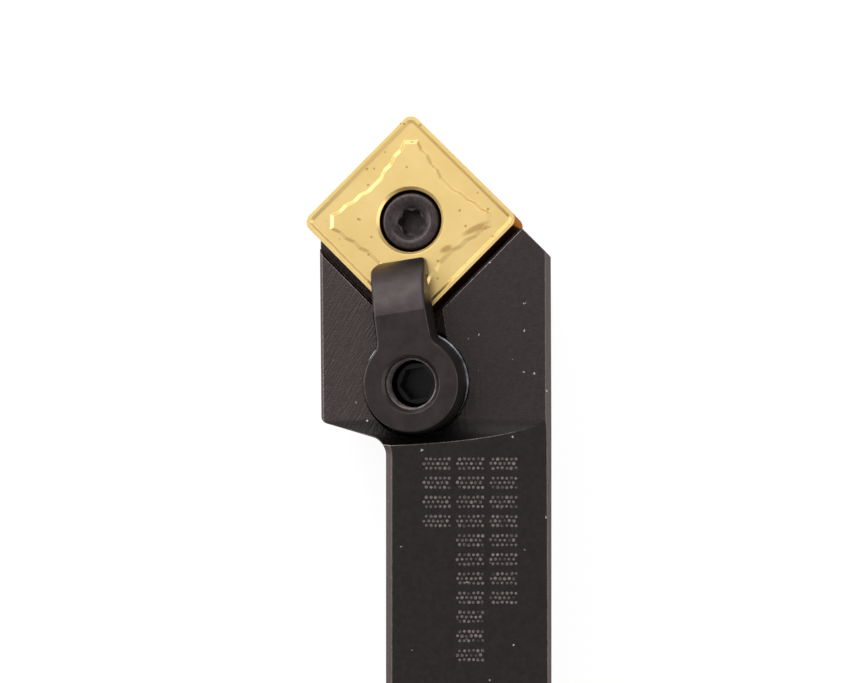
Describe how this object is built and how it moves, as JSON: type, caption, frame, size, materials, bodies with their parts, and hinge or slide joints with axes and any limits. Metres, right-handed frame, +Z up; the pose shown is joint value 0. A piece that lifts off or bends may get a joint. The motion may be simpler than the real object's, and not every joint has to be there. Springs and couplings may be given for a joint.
{
  "type": "turning tool holder cartridge",
  "caption": "Right-hand indexable turning cartridge with a square coated insert at 45 degrees, a lock pin, a finger clamp and two adjusting screws.",
  "frame": {"origin": "on the bottom face, under the axis of the fixing hole and midway across the shank", "axes": "+X points to the back face that locates the cartridge, +Y to the cutting end, +Z up with the rake face on top"},
  "size_m": [0.02, 0.055, 0.0184],
  "materials": {
    "blackened_steel": "black oxide, oiled, fine ground",
    "ground_carbide": "ground carbide",
    "coated_carbide": "titanium nitride coated",
    "blackened_pin": "black oxide, turned",
    "blackened_clamp": "black oxide, satin",
    "oiled_screw": "black oxide, oiled"
  },
  "bodies": {
    "cartridge": {"cartridge_body": "blackened_steel", "shim": "ground_carbide", "insert": "coated_carbide"},
    "lock_pin": {"lock_pin": "blackened_pin"},
    "clamp": {"clamp": "blackened_clamp"},
    "clamp_screw": {"clamp_screw": "oiled_screw"},
    "radial_screw": {"radial_adjusting_screw": "oiled_screw"},
    "axial_screw": {"axial_adjusting_screw": "oiled_screw"}
  },
  "joints": [
    {"name": "clamp_lift", "type": "slide", "parent": "cartridge", "child": "clamp", "axis": [-0.1564, 0, 0.9877], "range_m": [0, 0.0032]},
    {"name": "clamp_screw_turn", "type": "hinge", "parent": "clamp", "child": "clamp_screw", "pos_m": [-0.00427, 0.01657, 0.01492], "axis": [-0.1564, 0, 0.9877], "range_deg": [0, 720]},
    {"name": "lock_pin_turn", "type": "hinge", "parent": "cartridge", "child": "lock_pin", "pos_m": [-0.00477, 0.02991, 0.01342], "axis": [-0.164, 0.1117, 0.9801], "range_deg": [0, 360]},
    {"name": "radial_screw_travel", "type": "slide", "parent": "cartridge", "child": "radial_screw", "axis": [1, 0, 0], "range_m": [-0.001, 0.0015]},
    {"name": "axial_screw_travel", "type": "slide", "parent": "cartridge", "child": "axial_screw", "axis": [0.7071, -0.7071, 0], "range_m": [-0.001, 0.0015]}
  ],
  "couplings": [
    {"joint": "clamp_screw_turn", "follows": "clamp_lift", "rad_per_m": 3927}
  ]
}
